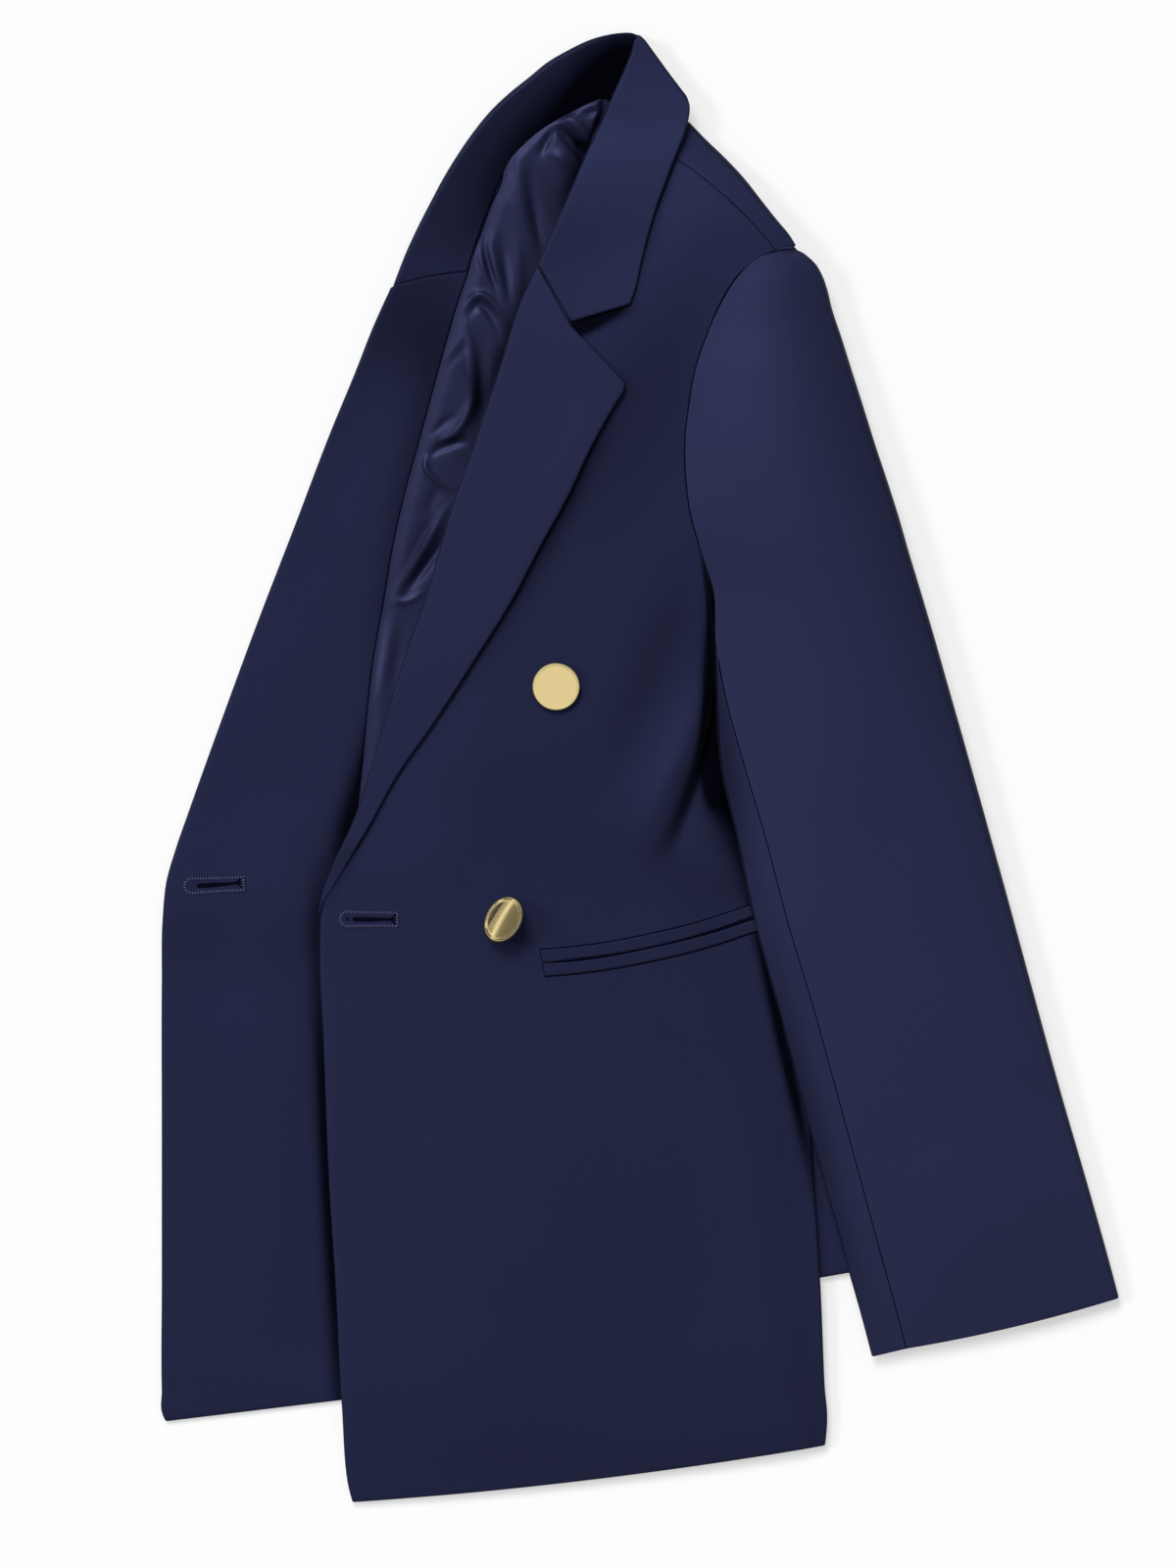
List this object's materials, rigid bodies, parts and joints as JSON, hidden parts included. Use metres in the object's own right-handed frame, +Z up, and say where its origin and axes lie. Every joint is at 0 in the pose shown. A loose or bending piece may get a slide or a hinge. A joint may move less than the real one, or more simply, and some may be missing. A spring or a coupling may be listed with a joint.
{
  "type": "double breasted blazer",
  "caption": "Double breasted blazer folded along its centre back and laid flat, with a notched lapel, jetted pocket, metal buttons and satin lining.",
  "frame": {"origin": "the middle of the part's plan, on the surface that it lies on", "axes": "+X towards the sleeve, +Y from the hem to the collar, +Z up from the surface"},
  "size_m": [0.5392, 0.8244, 0.0318],
  "materials": {
    "suiting": "smooth fine woven navy wool suiting, matt with a faint sheen",
    "suiting_inside": "the same navy suiting, seen in shade on the facing and under the collar",
    "satin": "navy satin lining, soft gloss",
    "button_metal": "plain polished pale gold",
    "thread": "navy buttonhole twist"
  },
  "bodies": {
    "root": {"left_front": "suiting", "left_lapel": "suiting", "collar_left": "suiting", "collar_right": "suiting_inside", "right_facing": "suiting_inside", "right_front": "suiting_inside", "lining": "satin", "back": "suiting", "left_sleeve_top": "suiting", "left_sleeve_under": "suiting", "right_sleeve": "suiting", "folded_layers": "suiting_inside", "pocket_welt_upper": "suiting", "pocket_welt_lower": "suiting", "button_upper": "button_metal", "button_lower": "button_metal", "buttonhole_left": "thread", "buttonhole_right": "thread"}
  },
  "joints": []
}
